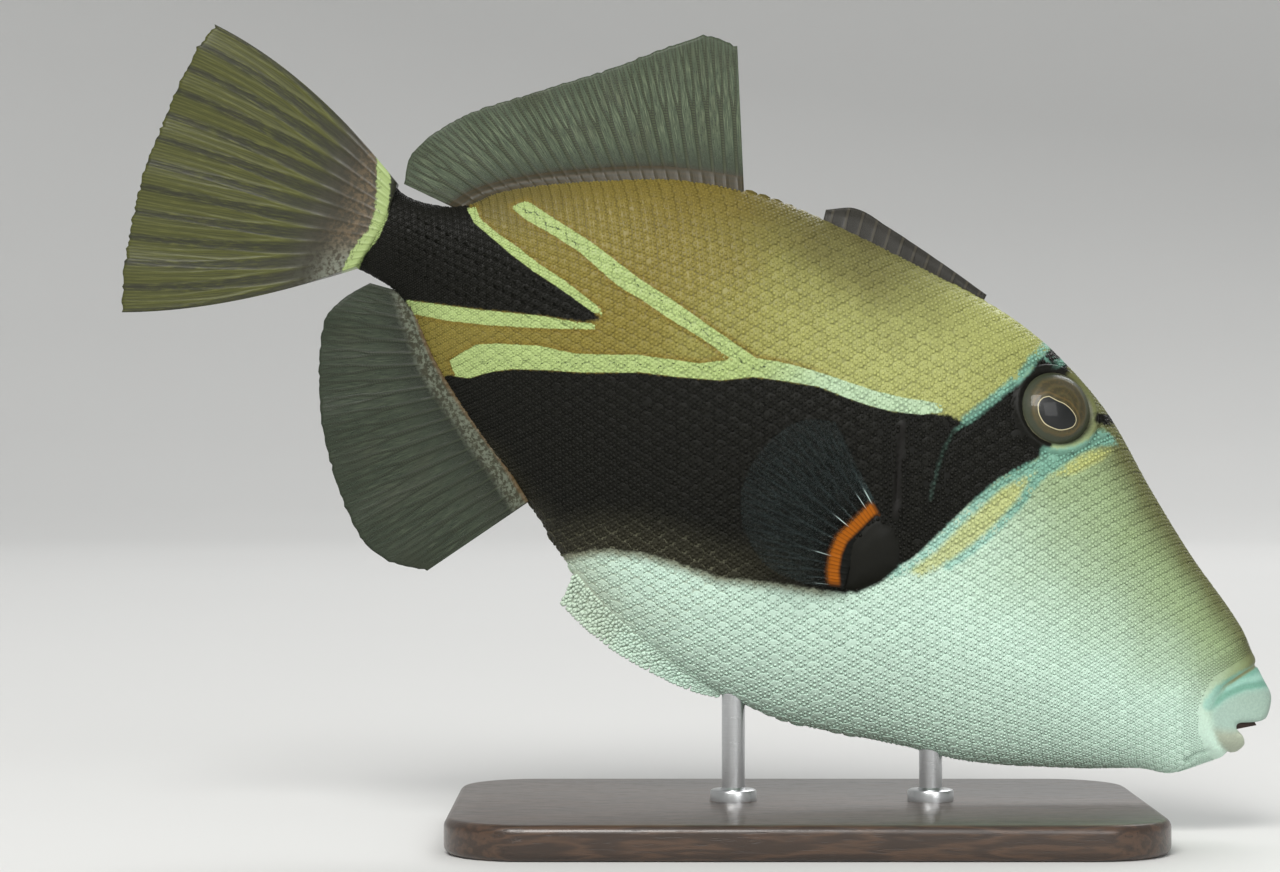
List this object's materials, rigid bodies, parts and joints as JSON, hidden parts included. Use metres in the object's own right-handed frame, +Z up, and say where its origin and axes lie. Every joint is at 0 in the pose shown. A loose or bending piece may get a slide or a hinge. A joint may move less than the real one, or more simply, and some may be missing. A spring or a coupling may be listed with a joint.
{
  "type": "wedge-tail triggerfish display model",
  "caption": "Life-size still model of a wedge-tail triggerfish swimming head down, with spread fins, held over a flat base by short rods.",
  "frame": {"origin": "centre of the underside of the display base", "axes": "+X towards the snout along the base's length, +Y towards the fish's left flank, +Z up"},
  "size_m": [0.1982, 0.08, 0.1398],
  "materials": {
    "skin": "scaled skin, olive gold above a dark band and pale greenish white below, moist sheen",
    "lip": "smooth fleshy lip with a blue-green rim",
    "fin": "thin translucent membrane between fine rays",
    "dark_fin": "dark folded spines and membrane",
    "eye": "wet, clear-coated eye",
    "base": "dark stained wood with a satin lacquer",
    "rod": "brushed metal rod"
  },
  "bodies": {
    "root": {"head": "skin", "trunk": "skin", "tail_stalk": "skin", "upper_lip": "lip", "lower_lip": "lip", "first_dorsal_fin": "dark_fin", "second_dorsal_fin": "fin", "anal_fin": "fin", "caudal_fin": "fin", "pelvic_flap": "skin", "pectoral_fin_left": "fin", "pectoral_fin_right": "fin", "eye_left": "eye", "eye_right": "eye", "stand_base": "base", "stand_rod_front": "rod", "stand_rod_rear": "rod"}
  },
  "joints": []
}
